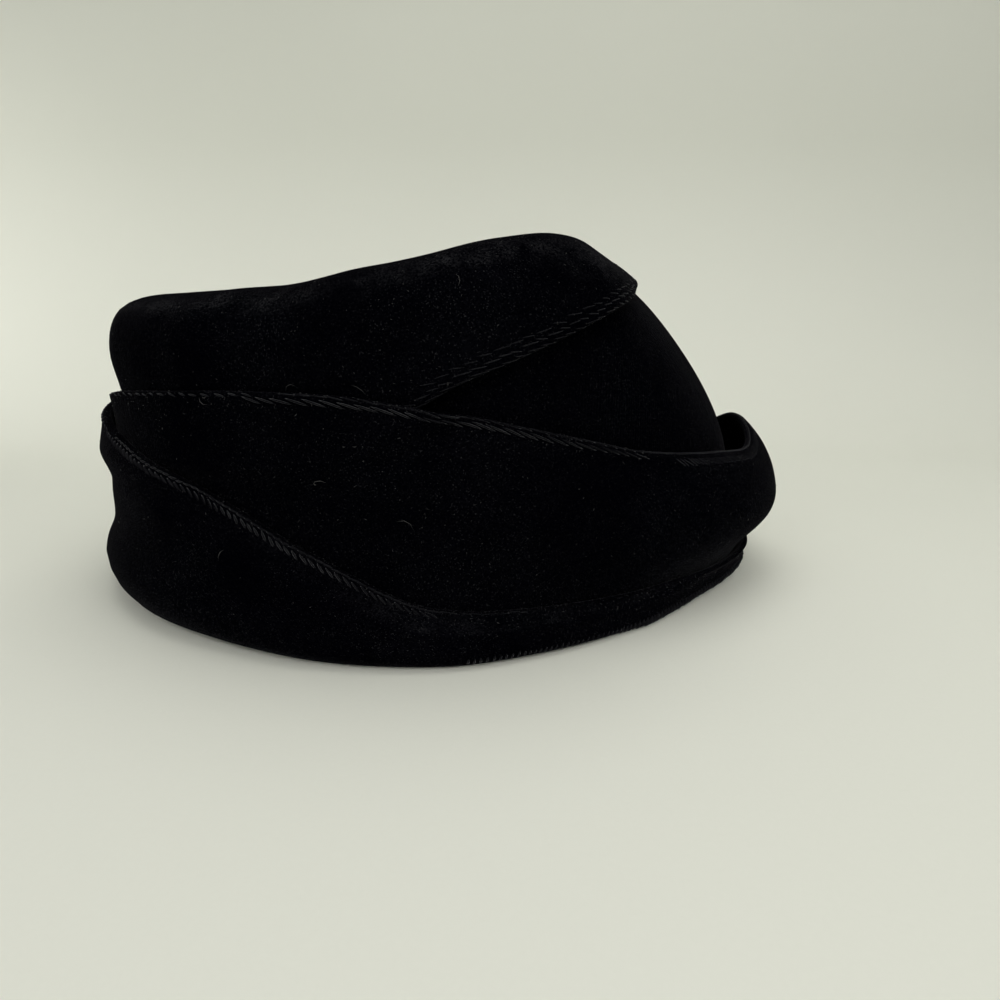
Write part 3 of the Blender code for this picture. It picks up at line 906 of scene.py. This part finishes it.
def velvet(name, row_width, row_lean, painted_sheen_share):
    """Black velvet: pile grain, faint rows, patches where the nap lies another way, specks of dust, and a
    painted sheen on edges that face partly up or down.
    """
    finish = Finish(name)
    place = finish.node("ShaderNodeTexCoord", {}, {}, 3)
    round_it, across = cloth_axes(finish)
    patches = finish.noise(place, PATCH_SCALE, 3.0, 0.6)
    nap = finish.noise(place, NAP_SCALE, 2.0, 0.55)
    grain = finish.noise(place, GRAIN_SCALE, 2.0, 0.6)
    dust = finish.noise(place, DUST_SCALE, 1.0)
    wander = finish.noise(place, WANDER_SCALE, 1.0) * (WANDER * row_width)
    rows = ((round_it + across * row_lean + wander) * (2 * math.pi / row_width)).sine() * 0.5 + 0.5
    # painted sheen: pale pile where the cloth faces partly up or down, broken up by noise
    painted_sheen = painted_sheen_edges(finish) * ((nap - 0.30) * 2.5).clipped() * ((patches - 0.2) * 2.2).clipped()
    bloom = ((patches - 0.45) * 1.8 + (nap - 0.5) * 1.0 + (grain - 0.5) * 4.0 + rows * 0.10).clipped()
    specks = ((dust - 0.64) * 12.0).clipped() * ((patches - 0.25) * 1.8).clipped()
    colour = finish.mixed(bloom, BLACK_PILE, BLOOM)
    # pale: the dust specks together with the painted sheen
    pale = (specks + painted_sheen * ((grain - 0.40) * 4.0).clipped() * painted_sheen_share).clipped()
    height = grain * 0.7 + nap * 0.6 + rows * 0.12 + specks * 0.4
    return finish.set(
        base_color=finish.mixed(pale, colour, DUST_AND_SHEEN_TONE),
        roughness=0.98 - patches * 0.16,
        specular_ior_level=0.0,
        sheen_weight=SHEEN_WEIGHT,
        sheen_roughness=SHEEN_ROUGHNESS,
        sheen_tint=SHEEN_TINT,
        normal=finish.bump(height, 0.9, PILE_DEPTH),
    )


def opened_velvet_painted_sheen(name):
    """Pile that has opened along a folded edge, where its sides catch the light; its pale base colour is a
    painted sheen.
    """
    finish = Finish(name)
    place = finish.node("ShaderNodeTexCoord", {}, {}, 3)
    grain = finish.noise(place, 2400, 2.0)
    stretch = finish.noise(place, 160, 1.0)
    # the whole base colour is a painted sheen, varied at random by the noise
    bloom = ((grain - 0.35) * 1.2 + (stretch - 0.5) * 1.2).clipped()
    return finish.set(
        base_color=finish.mixed(bloom, OPENED_SHEEN_DARK, OPENED_SHEEN_LIGHT),
        roughness=0.9 - grain * 0.2,
        specular_ior_level=0.04,
        sheen_weight=0.12,
        sheen_roughness=0.3,
        sheen_tint=SHEEN_TINT,
        normal=finish.bump(grain, 0.4, TUFT_DEPTH),
    )


def woven_back(name):
    """The velvet's plain woven back, seen inside the crown."""
    finish = Finish(name)
    place = finish.node("ShaderNodeTexCoord", {}, {}, 3)
    round_it, across = cloth_axes(finish)
    warp = (round_it * (2 * math.pi / THREAD)).sine()
    weft = (across * (2 * math.pi / THREAD)).sine()
    weave = warp * weft * 0.5 + 0.5
    wear = finish.noise(place, 45, 3.0)
    return finish.set(
        base_color=finish.mixed((weave * 0.5 + (wear - 0.3) * 0.9).clipped(), BACK_DARK, BACK_LIGHT),
        roughness=0.95 - wear * 0.15,
        specular_ior_level=0.1,
        sheen_weight=0.1,
        sheen_roughness=0.5,
        normal=finish.bump(weave + wear * 0.4, 0.5, THREAD_DEPTH),
    )


def lint_fibre(name):
    finish = Finish(name)
    place = finish.node("ShaderNodeTexCoord", {}, {}, 3)
    tone = finish.noise(place, 90, 1.0)
    return finish.set(
        base_color=finish.mixed(tone, LINT_DARK, LINT_LIGHT),
        roughness=0.9,
        specular_ior_level=0.1,
    )


def backdrop_paper(name):
    finish = Finish(name)
    place = finish.node("ShaderNodeTexCoord", {}, {}, 3)
    cloud = finish.noise(place, CLOUD_SCALE, 2.0)
    fleck = finish.noise(place, FLECK_SCALE, 2.0)
    return finish.set(
        base_color=finish.mixed((cloud * 0.8 + fleck * 0.2).clipped(), FLOOR_TONE, FLOOR_TONE_LIGHT),
        roughness=0.7 - cloud * 0.1,
        specular_ior_level=0.25,
        normal=finish.bump(fleck, 0.08, PAPER_DEPTH),
    )


def sweep(finish):
    """A pale floor that bends up into a wall behind the hat."""
    line = [(-SWEEP_REACH, 0.0)]
    for turn in np.linspace(0, math.pi / 2, SWEEP_STEPS):
        line.append((SWEEP_START + SWEEP_BEND * math.sin(turn), SWEEP_BEND * (1 - math.cos(turn))))
    line.append((SWEEP_START + SWEEP_BEND, SWEEP_TOP))
    places = [(x, y, z) for y, z in line for x in (-SWEEP_REACH, SWEEP_REACH)]
    faces = [(2 * k, 2 * k + 1, 2 * k + 3, 2 * k + 2) for k in range(len(line) - 1)]
    mesh = bpy.data.meshes.new("backdrop")
    mesh.from_pydata(places, [], faces)
    mesh.shade_smooth()
    mesh.materials.append(finish)
    made = bpy.data.objects.new("backdrop", mesh)
    bpy.context.scene.collection.objects.link(made)
    return made


def light(row):
    lamp = dict(zip(LIGHT_COLUMNS, row))
    data = bpy.data.lights.new(lamp["name"], "AREA")
    data.shape = "RECTANGLE"
    data.size = lamp["width"]
    data.size_y = lamp["height"]
    data.energy = lamp["watts"]
    data.spread = math.radians(lamp["fan"])
    data.color = lamp["tone"]
    made = bpy.data.objects.new(lamp["name"], data)
    made.location = lamp["place"]
    aim = Vector(lamp["aim"]) - made.location
    made.rotation_mode = "QUATERNION"
    made.rotation_quaternion = aim.to_track_quat("-Z", "Y")
    bpy.context.scene.collection.objects.link(made)


def sky():
    world = bpy.data.worlds.new("studio_sky")
    world.use_nodes = True
    background = world.node_tree.nodes["Background"]
    background.inputs["Color"].default_value = SKY_TONE
    background.inputs["Strength"].default_value = SKY_STRENGTH
    bpy.context.scene.world = world


def camera():
    data = bpy.data.cameras.new("camera")
    data.lens = LENS
    data.sensor_width = SENSOR
    data.clip_start = NEAREST
    data.clip_end = FARTHEST
    made = bpy.data.objects.new("camera", data)
    made.location = CAMERA_PLACE
    made.rotation_euler = (math.radians(HALF_TURN / 2 - CAMERA_PITCH), 0, 0)
    bpy.context.scene.collection.objects.link(made)
    bpy.context.scene.camera = made


def build():
    outlines = all_outlines()
    chance = np.random.default_rng(SEED)
    edges = skins(outlines)
    back = woven_back("velvet_back")
    pile = opened_velvet_painted_sheen("opened_pile")
    tufts = opened_pile(edges, chance)
    pieces = {}
    for values in LAYERS:
        layer = dict(zip(LAYER_COLUMNS, values))
        finish = velvet(
            layer["piece"] + "_finish", layer["row_width"] * MM, layer["row_lean"], layer["painted_sheen"]
        )
        inner = back if layer["node"] == "crown" else None
        piece = ring(layer["piece"], outlines[layer["node"]], finish, inner)
        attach(piece, "root")
        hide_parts(layer["node"])
        pieces[layer["node"]] = piece
        if layer["node"] in tufts:
            made = tufts[layer["node"]].piece(layer["node"] + "_opened_pile", pile)
            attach(made, "root")
            pieces[layer["node"] + "_tufts"] = made
    loose = lint(edges, chance).piece("lint", lint_fibre("lint_fibre"))
    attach(loose, "root")
    return pieces


pieces = build()
sweep(backdrop_paper("backdrop_paper"))
for row in LIGHTS:
    light(row)
sky()
camera()
bpy.context.scene.view_settings.view_transform = "Standard"
